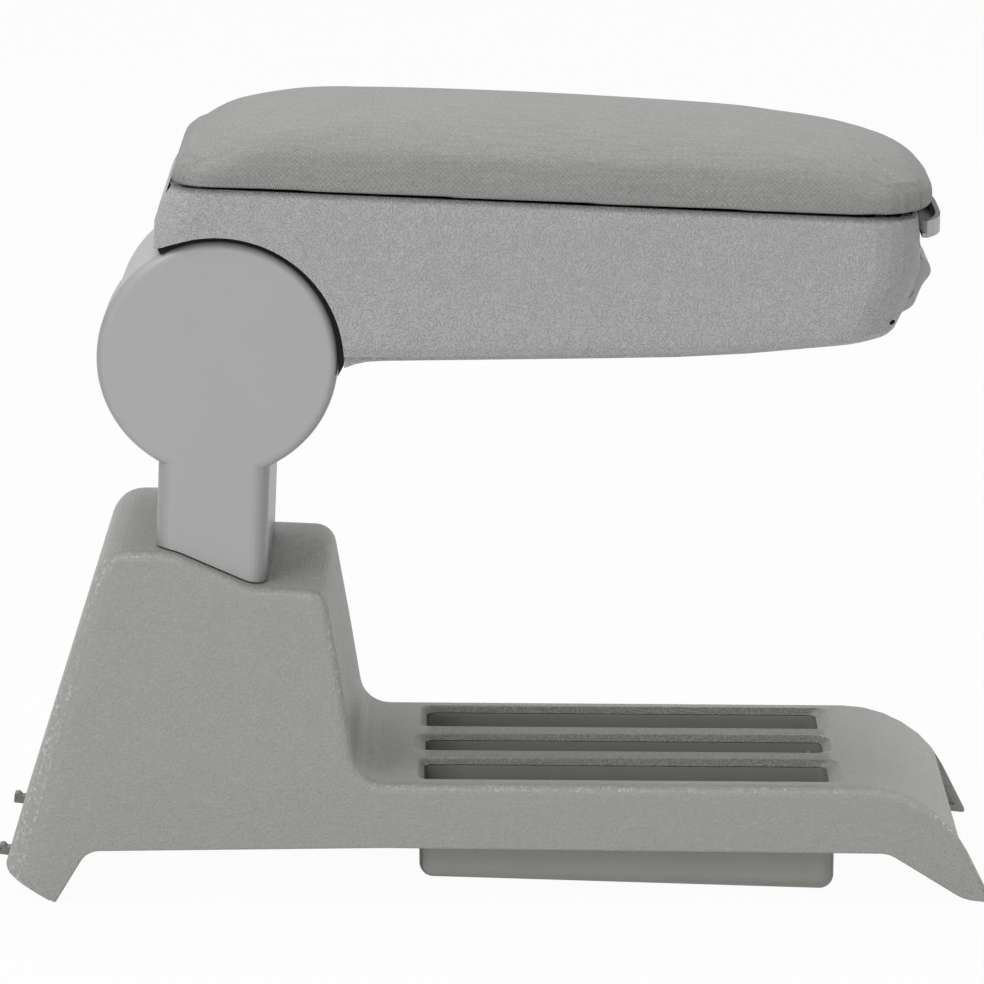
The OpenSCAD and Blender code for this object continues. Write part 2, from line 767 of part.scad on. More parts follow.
module case_knuckle(y0, y1) {
    rod_y(hinge_x, hinge_z, hinge_r, y0, y1);
    hull() {
        translate([hinge_x - 7, y0, hinge_z - 11]) cube([8, y1 - y0, 1]);
        translate([hinge_x - 1, y0, hinge_z - 1]) cube([3.4, y1 - y0, 1]);
    }
}

hinge_case_y = [[-38, -27], [-6, 6], [27, 38]];
hinge_lid_y = [[-26.5, -6.5], [6.5, 26.5]];

// Bracket that carries a pin, joined to the casing front at the height wall_z
module pin_bracket(x, z, y0, y1, r, front, wall_z) {
    hull() {
        rod_y(x, z, r, y0, y1);
        translate([front, y0, wall_z]) cube([1, y1 - y0, 2 * r - 2]);
    }
}

module arm_casing() {
    saddle_half = case_half - 1.6;
    $fn = 24;
    color("darkgray") difference() {
        union() {
            difference() {
                case_body(0, 0);
                case_body(case_wall, 6);
                // The rear rim stands lower between the side walls, where the lid swings down
                translate([-150, -case_half + 10, hinge_z - 2.9])
                    cube([150 + hinge_x - 1.2, 2 * case_half - 20, 20]);
            }
            intersection() {
                side_plate(-saddle_half, saddle_half)
                    ring_sector(saddle_r - 2, saddle_r + case_wall, saddle_from, saddle_to + 2);
                case_body(1.2, -2);
            }
            // Lower rim, drawn down a little beside the round cover
            side_plate(-saddle_half + 1.4, saddle_half - 1.4) polygon([
                [-64, case_low - 3.4], [-60, case_low - 2.9], [-56, case_low - 1.4],
                [-51, case_low - 0.3], [-44, case_low + 0.1], [-44, case_low + 2], [-64, case_low + 2]
            ]);
            for (x = frame_screw_x, s = [-1, 1]) floor_boss(x, s * 25, floor_seat);
            for (x = liner_post_x, s = [-1, 1]) floor_boss(x, s * (bin_half - 9), liner_floor(x) - 0.3);
            for (k = hinge_case_y) case_knuckle(k[0], k[1]);
            for (s = [-1, 1]) {
                pin_bracket(latch_x, latch_z, s > 0 ? 16 : -19, s > 0 ? 19 : -16, 3.4, 174.4, latch_z + 4.4);
                pin_bracket(lever_x, lever_z, s > 0 ? 17.5 : -20.5, s > 0 ? 20.5 : -17.5, 3.4, 166.8,
                    lever_z - 2.4);
            }
            for (x = [75, 100, 125]) rod_guide(x);
        }
        side_plate(-70, 70) translate([pivot_x, pivot_z]) circle(r = saddle_r, $fn = 96);
        for (k = hinge_lid_y)
            rod_y(hinge_x, hinge_z, hinge_r + 0.5, k[0] - 0.2, k[1] + 0.2);
        for (k = hinge_lid_y) translate([hinge_x - 3.2, k[0] - 0.2, hinge_z - 1])
            cube([10, k[1] - k[0] + 0.4, 12]);
        rod_y(hinge_x, hinge_z, hinge_pin_r + 0.03, -36.5, 39);
        // Way through the saddle for the steel arm and the pull rod
        side_plate(-cheek_y - cheek_t - 1, cheek_y + cheek_t + 1)
            ring_sector(saddle_r - 4, saddle_r + 8, 2.2, 25);
        // Apertures of the latch and the lever, and their pin holes
        translate([172, -lip_half - 1.5, latch_z - 5]) cube([20, 2 * lip_half + 3, 8.6]);
        lever_window();
        rod_y(latch_x, latch_z, pin_r + 0.04, -24, 24);
        rod_y(lever_x, lever_z, pin_r + 0.04, -24, 24);
        rod_y(lever_x + 1.4, lever_z - 3, 1.3, -70, -30);
        for (x = frame_screw_x, s = [-1, 1])
            translate([x, s * 25, floor_seat - 3]) cylinder(d = screw_d + 0.2, h = 10);
    }
}

module lever_window() {
    side_plate(-17, 17) polygon([
        [lever_x - 5, lever_z - 7.5], [lever_x + 14, lever_z - 7.5],
        [lever_x + 24, lever_z + 20], [lever_x - 5, lever_z + 20]
    ]);
}

// Fork on the casing floor that guides the pull rod
module rod_guide(x) {
    for (s = [-1, 1]) hull() {
        translate([x - 3, s * 3.2 - 1.2, case_bottom(x) + 1]) cube([6, 2.4, 1]);
        translate([x - 2, s * 3 - 1, rod_z(x) + 0.6]) cube([4, 2, 1]);
    }
    translate([x - 2, -3, case_bottom(x) + 1])
        cube([4, 6, rod_z(x) - rod_h / 2 - clear - case_bottom(x) - 1]);
}

// Storage box in the casing, in the frame of the lid line
bin_front = 132;
bin_rear = -50;
bin_half = case_half - 8;
bin_wall = 2;
module bin_outline(x0, x1, half, r) {
    translate([x0 + r, -half + r]) offset(r = r) square([x1 - x0 - 2 * r, 2 * half - 2 * r]);
}

module storage_box() {
    color("dimgray") on_lid_line() translate([0, 0, -lid_gap / 2]) difference() {
        union() {
            translate([0, 0, -bin_depth]) linear_extrude(bin_depth - 1) bin_outline(bin_rear, bin_front, bin_half, 9);
            translate([0, 0, -4]) linear_extrude(2.4) bin_outline(-118, 150, case_half - case_wall - 1.2, 9);
        }
        translate([0, 0, -bin_depth + bin_wall]) linear_extrude(bin_depth)
            bin_outline(bin_rear + bin_wall, bin_front - bin_wall, bin_half - bin_wall, 7);
    }
}

module box_mat() {
    color("black") on_lid_line() translate([0, 0, -lid_gap / 2 - bin_depth + bin_wall])
        linear_extrude(1.6) bin_outline(bin_rear + bin_wall + 0.4, bin_front - bin_wall - 0.4,
            bin_half - bin_wall - 0.4, 6.6);
}

module lid_bumpers() {
    color("black") on_lid_line() for (s = [-1, 1])
        translate([142, s * (case_half - 9), -lid_gap / 2 - 1.6]) cylinder(d1 = 8, d2 = 6, h = 3.3);
}

// Lid
module lid_hinge_pin() {
    color("silver") rod_y(hinge_x, hinge_z, hinge_pin_r, -36.4, 38);
}

tray_half = case_half - 3.4;
tray_rear = -128.6;
tray_front = 177.4;
tray_t = 5;
lid_corner_rear = 19;
lid_corner_front = 30;
lid_bow = 5;
striker_screw_x = 154.5;
striker_screw_d = 2.4;
module tray_plan(inset) {
    polygon(plan(tray_rear + inset, tray_front - inset, tray_half - inset,
        lid_corner_rear - inset, lid_corner_front - inset, lid_bow));
}

module lid_tray() {
    rise = lid_gap / 2;
    color("gray") {
        difference() {
            on_lid_line() translate([0, 0, rise]) difference() {
                linear_extrude(tray_t) tray_plan(0);
                translate([0, 0, -1]) linear_extrude(tray_t - 1.4) tray_plan(8);
                for (s = [-1, 1]) translate([striker_screw_x, s * 6, 0])
                    cylinder(d = striker_screw_d + 2 * pin_fit, h = tray_t - 0.8);
            }
            for (k = hinge_case_y)
                rod_y(hinge_x, hinge_z, hinge_r + 0.4, k[0] - 0.4, k[1] + 0.4);
        }
        on_lid_line() translate([0, 0, rise]) {
            for (x = [-60, 0, 60, 120]) translate([x, -tray_half + 7.5, 1.2])
                cube([1.6, 2 * tray_half - 15, tray_t - 2.4]);
            for (y = [-24, 24]) translate([tray_rear + 7.5, y - 0.8, 1.2])
                cube([tray_front - tray_rear - 16, 1.6, tray_t - 2.4]);
        }
        for (k = hinge_lid_y) difference() {
            union() {
                rod_y(hinge_x, hinge_z, hinge_r, k[0], k[1]);
                translate([hinge_x - 0.2, k[0], hinge_z]) cube([2.8, k[1] - k[0], 3.2]);
            }
            rod_y(hinge_x, hinge_z, hinge_pin_r + pin_fit, k[0] - 1, k[1] + 1);
        }
    }
}

// Padded lid: rows [share of the crown height, rear x, front x, half width]
pad_rows = [
    [0.00, -129.2, 179.4, case_half - 0.6],
    [0.05, -130.2, 181.2, case_half + 0.8],
    [0.22, -128.4, 181.2, case_half + 1.4],
    [0.42, -122.6, 177.2, case_half + 1.2],
    [0.58, -117.0, 171.2, case_half - 0.6],
    [0.72, -111.2, 162.0, case_half - 4.2],
    [0.84, -103.6, 149.6, case_half - 10.4],
    [0.93, -94.0, 132.6, case_half - 19.4],
    [0.98, -80.0, 112.0, case_half - 30],
    [1.00, -66.0, 92.0, case_half - 43]
];
function pad_top(x) = lid_z(x) + crown + 3 * cos(min(90, abs(x + 40) * 0.6)) - 3 + x * 0.012;
function pad_low(x) = lid_z(x) + lid_gap / 2;
function pad_ring(row) =
    let (r = min(row[3] - 6, mix(lid_corner_front, 44, row[0])))
    [for (p = plan(row[1], row[2], row[3], min(r, mix(lid_corner_rear, 36, row[0])), r, lid_bow))
        [p.x, p.y, mix(pad_low(p.x), pad_top(p.x), row[0])]];
function recess_ring(grow, rise) =
    [for (p = plan(tray_rear - grow, tray_front + grow, tray_half + grow,
            lid_corner_rear + grow, lid_corner_front + grow, lid_bow))
        [p.x, p.y, pad_low(p.x) + rise]];

module lid_pad() {
    color("silver") skin(concat(
        [recess_ring(0.3, tray_t + 0.35), recess_ring(0.3, 0)],
        [for (row = pad_rows) pad_ring(row)]
    ));
}

module lid_striker() {
    color("dimgray") on_lid_line() translate([0, 0, lid_gap / 2 + tray_t - 2.4 - 0.05]) {
        difference() {
            translate([151, -9, -2]) cube([12, 18, 2]);
            for (s = [-1, 1]) translate([striker_screw_x, s * 6, -3])
                cylinder(d = striker_screw_d + 2 * pin_fit, h = 4);
        }
        translate([159.8, -5, -15]) cube([2, 10, 13.5]);
        translate([158.8, -5, -15]) cube([4, 10, 2.5]);
    }
}

module striker_screws() {
    color("dimgray") on_lid_line() for (s = [-1, 1])
        translate([striker_screw_x, s * 6, lid_gap / 2 + tray_t - 4.45])
            mirror([0, 0, 1]) screw(striker_screw_d, 3.4);
}

// Release lever under the nose
rod_h = 3.6;
rod_rear_z = pawl_z + pawl_arm;
rod_front_z = 242;
rod_front_x = 133;
function rod_z(x) = mix(rod_rear_z, rod_front_z, (x - pawl_x) / (rod_front_x - pawl_x));
module release_lever() {
    face = rounded([
        [lever_x - 1.5, lever_z - 3.6, 0.8], [lever_x + 6.5, lever_z - 5, 2],
        [lever_x + 12, lever_z - 1.6, 6], [lever_x + 15.4, lever_z + 7.2, 14],
        [lever_x + 19.4, lever_z + 12.4, 4], [lever_x + 17.6, lever_z + 18.4, 3.4],
        [lever_x + 12.6, lever_z + 17.6, 2], [lever_x + 11.6, lever_z + 11.6, 2],
        [lever_x + 5.5, lever_z + 2.8, 2]
    ], 5);
    color("lightgray") difference() {
        union() {
            side_plate(-16.4, 16.4) polygon(face);
            rod_y(lever_x, lever_z, 3.6, -12, 12);
            side_plate(-4.4, -1.9) lever_web();
        }
        rod_y(lever_x, lever_z, pin_r + pin_fit, -20, 20);
        rod_y(lever_x - 1, lever_z + lever_arm, 1.6, -6, 0);
        rod_y(lever_x, lever_z, 5, 12, 17);
        for (y = [-17, 16]) translate([lever_x + 10.6, y, lever_z + 1.6]) rotate([0, -58, 0])
            cube([3.4, 1.2, 1.3]);
    }
}

module lever_web() {
    polygon([
        [lever_x - 3.4, lever_z], [lever_x - 4, lever_z + lever_arm + 2.6],
        [lever_x + 2, lever_z + lever_arm + 2.6], [lever_x + 3.4, lever_z]
    ]);
}

module lever_pin() {
    color("silver") rod_y(lever_x, lever_z, pin_r, -20.5, 20.5);
}

module lever_spring() {
    color("silver") torsion_spring(lever_x, lever_z, 12.3, 150, 1310, 0.9, 2.6, 3.5);
}

// Flat rod from the lever to the pawl
module pull_rod() {
    color("dimgray") {
        side_plate(-1.5, 1.5) polygon([
            [pawl_x - 1, rod_rear_z - rod_h / 2], [rod_front_x, rod_front_z - rod_h / 2],
            [rod_front_x + 4.4, rod_front_z - rod_h / 2],
            [lever_x + 1, lever_z + lever_arm - rod_h / 2], [lever_x + 1, lever_z + lever_arm + rod_h / 2],
            [lever_x - 8, lever_z + lever_arm + rod_h / 2],
            [rod_front_x, rod_front_z + rod_h / 2], [pawl_x - 1, rod_rear_z + rod_h / 2]
        ]);
        rod_y(lever_x - 1, lever_z + lever_arm, 1.2, -4.6, 0);
        side_plate(1.4, 5.6) translate([pawl_x, rod_rear_z]) circle(r = 1.2);
    }
}

// Pawl beside the rod, its nose just off the ratchet teeth
nose_a = 21;
module pawl() {
    tip = [pivot_x + (ratchet_r + 0.5) * cos(nose_a), pivot_z + (ratchet_r + 0.5) * sin(nose_a)];
    color("darkgray") side_plate(2, 5.4) difference() {
        union() {
            translate([pawl_x, pawl_z]) circle(r = 3.8);
            polygon([
                [pawl_x - 3, pawl_z + 2], tip + [0.8, 1.8], tip, tip + [1.6, -1.2],
                [pawl_x - 1, pawl_z - 3.6], [pawl_x + 3.2, pawl_z], [pawl_x + 3.2, rod_rear_z + 2.8],
                [pawl_x - 3.2, rod_rear_z + 2.8], [pawl_x - 3.2, pawl_z + 3.4]
            ]);
        }
        translate([pawl_x, pawl_z]) circle(r = pin_r + pin_fit);
        translate([pawl_x - 1.65, rod_rear_z - 1.3]) square([3.3, 3.3]);
    }
}

module pawl_pin() {
    color("silver") rod_y(pawl_x, pawl_z, pin_r, -cheek_y - cheek_t, cheek_y + cheek_t);
}

module pawl_spring() {
    color("silver") torsion_spring(pawl_x, pawl_z, -6.6, 190, 1390, 0.8, 2.4, 4);
}

// Latch lip under the nose of the lid
lip_x = 184.6;
lip_low = latch_z - 1.4;
lip_h = 7;
lip_half = case_half - 22;
lip_bow = 7;
function lip_curve(inset) = [for (i = [0:16]) let (s = -1 + i / 8, y = s * (lip_half - inset))
    [lip_x - inset - lip_bow * pow(abs(s), 4.5), y]];
module lid_latch() {
    color("lightgray") {
        translate([0, 0, lip_low]) linear_extrude(lip_h)
            polygon(concat(lip_curve(0), [for (i = [16:-1:0]) lip_curve(1.9)[i]]));
        translate([0, 0, lip_low]) linear_extrude(1.8) intersection() {
            polygon(concat(lip_curve(0.5), [[latch_x + 3, lip_half], [latch_x + 3, -lip_half]]));
            union() {
                translate([175.6, -lip_half]) square([12, 2 * lip_half]);
                translate([latch_x, -11]) square([12, 22]);
            }
        }
        difference() {
            union() {
                rod_y(latch_x, latch_z, 3.2, -11.5, 11.5);
                translate([latch_x, -11.5, lip_low]) cube([8, 23, 1.8]);
                side_plate(-6, 6) polygon([
                    [latch_x - 2.6, latch_z], [latch_x - 2.2, latch_z + 8], [latch_x - 3.6, latch_z + 9.6],
                    [latch_x + 0.6, latch_z + 9.6], [latch_x + 2.6, latch_z]
                ]);
            }
            rod_y(latch_x, latch_z, pin_r + pin_fit, -20, 20);
        }
    }
}

module latch_pin() {
    color("silver") rod_y(latch_x, latch_z, pin_r, -19, 19);
}

module latch_spring() {
    color("silver") torsion_spring(latch_x, latch_z, 11.8, 160, 1300, 0.8, 2.4, 4);
}

console_base();
slot_box();
rear_clips();
post_frame();
base_screws();
post_cover();
post_shell();
shell_screws();
pivot_shaft();
shaft_nut();
ratchet_wheel();
arm_casing();
arm_frame();
frame_screws();
pivot_bushes();
slot_shutter();
storage_box();
box_mat();
lid_bumpers();
lid_hinge_pin();
release_lever();
lever_pin();
lever_spring();
pull_rod();
pawl();
pawl_pin();
pawl_spring();
lid_latch();
latch_pin();
latch_spring();
lid_tray();
lid_pad();
lid_striker();
striker_screws();
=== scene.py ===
"""Looks of a car centre armrest: its plastics, its cloth lid and the light it stands in.

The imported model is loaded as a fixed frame. Each operator dresses one group of its pieces.
"""

import json
import math

import bpy
import numpy as np
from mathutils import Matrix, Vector


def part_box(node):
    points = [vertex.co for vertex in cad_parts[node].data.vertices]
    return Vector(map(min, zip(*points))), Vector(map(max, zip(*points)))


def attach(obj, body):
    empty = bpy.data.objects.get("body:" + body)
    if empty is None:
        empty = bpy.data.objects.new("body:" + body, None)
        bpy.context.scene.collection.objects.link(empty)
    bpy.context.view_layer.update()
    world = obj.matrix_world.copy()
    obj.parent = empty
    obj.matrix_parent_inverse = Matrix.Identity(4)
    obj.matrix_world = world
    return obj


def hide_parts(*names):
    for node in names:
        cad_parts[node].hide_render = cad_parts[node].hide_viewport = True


bl_info = {
    "name": "Car Centre Armrest",
    "version": (1, 0, 0),
    "blender": (4, 5, 0),
    "location": "View3D > Sidebar > Armrest",
    "description": "Dresses a car centre armrest: moulded plastic, padded cloth lid and studio",
    "category": "Object",
}

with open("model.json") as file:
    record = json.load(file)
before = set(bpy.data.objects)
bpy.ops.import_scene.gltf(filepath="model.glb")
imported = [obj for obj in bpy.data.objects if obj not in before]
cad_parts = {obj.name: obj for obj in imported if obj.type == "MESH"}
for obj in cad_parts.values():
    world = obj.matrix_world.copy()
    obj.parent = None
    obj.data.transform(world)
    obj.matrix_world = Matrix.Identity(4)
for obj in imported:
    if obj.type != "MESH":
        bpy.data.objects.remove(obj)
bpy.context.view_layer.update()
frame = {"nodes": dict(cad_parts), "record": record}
NODES = frame["nodes"]
RECORD = frame["record"]
MM = 0.001
SLOT_COLOUR = {m["slot"]: tuple(m["base_color"][:3]) for m in RECORD["materials"]}

# The console base: its tray, its leaning sides and the screw bosses inside them
TRAY_TOP = 51 * MM
SLOT_ENDS = (-31 * MM, 146 * MM)
RIB_SIDES = (12.5 * MM, 23.5 * MM)
BASE_HALF = 65 * MM
BASE_LEAN = 0.056
BOSS_PLACES = (-150 * MM, -76 * MM)
BOSS_HEIGHTS = (16 * MM, 50 * MM)
BOSS_REACH = 5.2 * MM

# The casing: its lower rim beside the saddle, and the opening behind the lip
RIM_ENDS = (-64.1 * MM, -43.9 * MM)
RIM_TOP = 230 * MM
RIM_HALF = 54 * MM
RIM_STEP = 2.4 * MM
MOUTH_PLACE = 174 * MM
MOUTH_HALF = 40 * MM
MOUTH_FLOOR = 280 * MM
LIP_FOOT = 284 * MM

# Black strips of painted shade in the gap between the saddle and the round covers, from its lower
# to its upper end
PIVOT = Vector((-112 * MM, 0, 228 * MM))
SHADE_STRIP_INNER = 49.42 * MM
SHADE_STRIP_OUTER = 51.77 * MM
SHADE_STRIP_ENDS = (math.radians(-7.5), math.radians(117))
SHADE_STRIP_STEPS = 96
SHADE_STRIP_WIDTH = 5.5 * MM
SHADE_STRIP_SIDES = (("gap_shade_strip_near", -51.5 * MM), ("gap_shade_strip_far", 46 * MM))

# The lid line slopes down towards the nose
LID_SLOPE = math.radians(2.55)
LID_LINE = 295.5 * MM

# Half width of the cloth towards the lid's rear end, as it comes off the solver and as it is
# wrapped round the tray's corners
CORNER_PLACES = np.array([-130.2, -129.5, -126, -120, -110, -95]) * MM
CORNER_ROUND = (44, 46.5, 52, 55.1, 57.8, 58.4)
CORNER_SQUARE = (55, 56, 57.4, 58.2, 58.4, 58.4)
CLOTH_DROP = 0.9 * MM
CLOTH_FRAMES = 20

FLOOR_SIZE = 12
FLOOR_COLOUR = (0.86, 0.86, 0.85)
LENS = 189.6
# Each lamp's place from the aim, its width in metres and its power in watts
LAMPS = (("key", (-1.1, -1.5, 1.9), 1.5, 28.5),
         ("front", (0, -2.4, 0.5), 1.2, 7),
         ("top", (0.1, 0.3, 2.2), 1.4, 21),
         ("top_nose", (1.3, 0, 2.1), 0.8, 7),
         ("top_rear", (-1.3, 0, 2.1), 0.8, 7))


def lid_height(x):
    """Height of the lid line at a place along x, or at many."""
    return LID_LINE - x * math.tan(LID_SLOPE)


def colour_property(name, description, slot, shift=(1, 1, 1)):
    """A colour that starts as the record's slot colour, shifted a little towards the photograph."""
    return bpy.props.FloatVectorProperty(
        name=name, description=description,
        default=tuple(c * k for c, k in zip(SLOT_COLOUR[slot], shift)),
        subtype="COLOR", size=3, min=0, max=1)


class ArmrestPlastics(bpy.types.PropertyGroup):
    base: colour_property("Base", "Colour of the console base", "base_plastic",
                          (1.0, 0.98, 1.035))
    casing: colour_property("Casing", "Colour of the armrest casing", "casing_plastic",
                            (1.08, 1.06, 1.105))
    column: colour_property("Column", "Colour of the column and its round cover", "column_plastic",
                            (0.962, 0.946, 0.98))
    box: colour_property("Slot box", "Colour of the box under the slots", "box_plastic",
                         (1.16, 1.15, 1.2))
    clip: colour_property("Clips", "Colour of the rear clips", "clip_plastic")
    lip: colour_property("Lip", "Colour of the latch lip and the release lever", "lip_plastic")
    grain_size: bpy.props.FloatProperty(
        name="Grain size", description="Width of one bump of the moulded grain",
        default=1.15 * MM, min=0.2 * MM, max=3 * MM, subtype="DISTANCE", unit="LENGTH")
    grain_depth: bpy.props.FloatProperty(
        name="Grain depth", description="Depth of the moulded grain",
        default=0.16 * MM, min=0, max=0.5 * MM, subtype="DISTANCE", unit="LENGTH")


class ArmrestCloth(bpy.types.PropertyGroup):
    colour: colour_property("Cloth", "Colour of the lid's cloth", "lid_fabric")
    thread: bpy.props.FloatProperty(
        name="Thread pitch", description="Distance from one thread to the next",
        default=1.05 * MM, min=0.3 * MM, max=3 * MM, subtype="DISTANCE", unit="LENGTH")
    voxel: bpy.props.FloatProperty(
        name="Voxel", description="Size of the faces that the cloth is simulated on",
        default=2.6 * MM, min=1.5 * MM, max=6 * MM, subtype="DISTANCE", unit="LENGTH")
    inset: bpy.props.FloatProperty(
        name="Inset", description="How far the cloth starts inside the pad's outline",
        default=0.9 * MM, min=0, max=4 * MM, subtype="DISTANCE", unit="LENGTH")
    swell: bpy.props.FloatProperty(
        name="Swell", description="The furthest that the pad may swell",
        default=2.0 * MM, min=0, max=8 * MM, subtype="DISTANCE", unit="LENGTH")
    pressure: bpy.props.FloatProperty(
        name="Pressure", description="Pressure of the foam under the cloth",
        default=4, min=0, max=20)


class ArmrestStudio(bpy.types.PropertyGroup):
    backdrop: bpy.props.FloatVectorProperty(
        name="Backdrop", description="Colour of the floor and the backdrop",
        default=(0.99, 0.99, 0.99), subtype="COLOR", size=3, min=0, max=1)
    daylight: bpy.props.FloatProperty(
        name="Surrounding light", description="Strength of the light from all round",
        default=0.36, min=0, max=3)
    distance: bpy.props.FloatProperty(
        name="Camera distance", description="Distance of the camera from the armrest",
        default=2.177, min=0.5, max=10, subtype="DISTANCE", unit="LENGTH")
    elevation: bpy.props.FloatProperty(
        name="Camera elevation", description="Angle that the camera looks down at",
        default=math.radians(14), min=0, max=math.pi / 2, subtype="ANGLE", unit="ROTATION")
    aim: bpy.props.FloatProperty(
        name="Aim height", description="Height of the point that the camera looks at",
        default=0.160, min=0, max=1, subtype="DISTANCE", unit="LENGTH")


# Materials

def put(tree, socket, value):
    """Links a socket to another one, or sets it to a plain value."""
    if isinstance(value, bpy.types.NodeSocket):
        tree.links.new(value, socket)
    else:
        socket.default_value = value


def arithmetic(tree, kind, a, b=0.0):
    """One step of arithmetic on numbers or sockets."""
    node = tree.nodes.new("ShaderNodeMath")
    node.operation = kind
    put(tree, node.inputs[0], a)
    put(tree, node.inputs[1], b)
    return node.outputs[0]


class Recipe:
    """A material's node tree, built one node at a time."""

    def __init__(self, name, colour, roughness, metallic=0.0, specular=0.5):
        self.material = bpy.data.materials.new(name)
        self.material.use_nodes = True
        self.material.diffuse_color = (*colour, 1)
        self.colour = colour
        self.tree = self.material.node_tree
        self.shader = self.tree.nodes["Principled BSDF"]
        self.shader.inputs["Base Color"].default_value = (*colour, 1)
        self.shader.inputs["Roughness"].default_value = roughness
        self.shader.inputs["Metallic"].default_value = metallic
        self.shader.inputs["Specular IOR Level"].default_value = specular
        spots = self.add("ShaderNodeTexCoord").outputs
        self.place = spots["Object"]
        self.facing = spots["Normal"]

    def add(self, kind, **values):
        """A new node with its own values set."""
        node = self.tree.nodes.new(kind)
        for name, value in values.items():
            setattr(node, name, value)
        return node

    def feed(self, node, **sockets):
        """Sets or links a node's inputs by name."""
        for name, value in sockets.items():
            put(self.tree, node.inputs[name], value)

    def noise(self, size, detail=2.0, roughness=0.5, place=None):
        """Noise with features about size across."""
        node = self.add("ShaderNodeTexNoise")
        self.feed(node, Vector=place or self.place, Scale=1 / size, Detail=detail,
                  Roughness=roughness)
        return node.outputs["Fac"]

    def ridges(self, size):
        """Winding ridges, 1 on their crests and 0 between them."""
        wave = self.noise(size, detail=1)
        off = self.math("ABSOLUTE", self.math("SUBTRACT", wave, 0.5))
        return self.spread(off, 1, 0, 0.0, 0.09)

    def axes(self, socket):
        """The three numbers of a place or a direction."""
        node = self.add("ShaderNodeSeparateXYZ")
        self.tree.links.new(socket, node.inputs[0])
        return node.outputs

    def between(self, value, low, high, soft):
        """1 where a value lies from low to high, fading out over soft at both ends."""
        return self.times(self.spread(value, 0, 1, low, low + soft),
                          self.spread(value, 1, 0, high - soft, high))

    def darken(self, skin, mask, share):
        """A colour with a share of its brightness left where the mask is 1."""
        return self.mixed(mask, skin, (share, share, share, 1), way="MULTIPLY")

    def stretched(self, x, y, z):
        """Object coordinates scaled unevenly, for brushed or drawn surfaces."""
        node = self.add("ShaderNodeMapping")
        self.feed(node, Vector=self.place, Scale=(x, y, z))
        return node.outputs["Vector"]

    def spread(self, value, low, high, start=0.3, end=0.7):
        """Maps a value from start..end to low..high."""
        node = self.add("ShaderNodeMapRange")
        for socket, number in zip(node.inputs, (value, start, end, low, high)):
            put(self.tree, socket, number)
        return node.outputs["Result"]

    def math(self, kind, a, b=0.0):
        """One step of arithmetic in this material."""
        return arithmetic(self.tree, kind, a, b)

    def times(self, first, *others):
        """The product of two or more masks or numbers."""
        for other in others:
            first = self.math("MULTIPLY", first, other)
        return first

    def mixed(self, factor, first, second, way="MIX"):
        """Mixes two colours, plain or from sockets, by factor."""
        node = self.add("ShaderNodeMix", data_type="RGBA", blend_type=way)
        for i, value in zip((0, 6, 7), (factor, first, second)):
            put(self.tree, node.inputs[i], value)
        return node.outputs[2]

    def tint(self, colour, factor, low, high):
        """Shades of one colour, from low to high times its brightness, by factor."""
        return self.mixed(factor, (*(c * low for c in colour), 1), (*(c * high for c in colour), 1))

    def bump(self, height, distance, strength=1.0, under=None):
        """A surface raised by height, over another bump if there is one."""
        node = self.add("ShaderNodeBump")
        self.feed(node, Height=height, Distance=distance, Strength=strength)
        if under:
            self.tree.links.new(under, node.inputs["Normal"])
        return node.outputs["Normal"]

    def finish(self, colour, normal, roughness=None):
        """Leads the finished colour, surface and dullness into the shader."""
        self.tree.links.new(colour, self.shader.inputs["Base Color"])
        self.tree.links.new(normal, self.shader.inputs["Normal"])
        if roughness:
            self.tree.links.new(roughness, self.shader.inputs["Roughness"])
        return self.material


def grained_plastic(name, colour, size, depth, roughness, mottle, shade):
    """Plastic moulded with a leather-like grain, with painted shade and highlight, and wear, that
    depend on the piece.
    """
    r = Recipe(name, colour, sum(roughness) / 2)
    grain = r.math("ADD", r.ridges(size * 1.7), r.times(r.noise(size * 0.6), 0.7))
    cloud = r.noise(26 * MM, detail=3)
    skin = r.mixed(
        r.spread(grain, 0, 1, 0.45, 1.25),
        r.tint(colour, cloud, 1 - mottle * 1.2, 1 - mottle * 0.6),
        r.tint(colour, cloud, 1 + mottle * 1.2, 1 + mottle * 2.0))
    dullness = r.spread(grain, *roughness, 0.4, 1.4)
    skin, dullness = shade(r, skin, dullness)
    return r.finish(skin, r.bump(grain, depth), dullness)


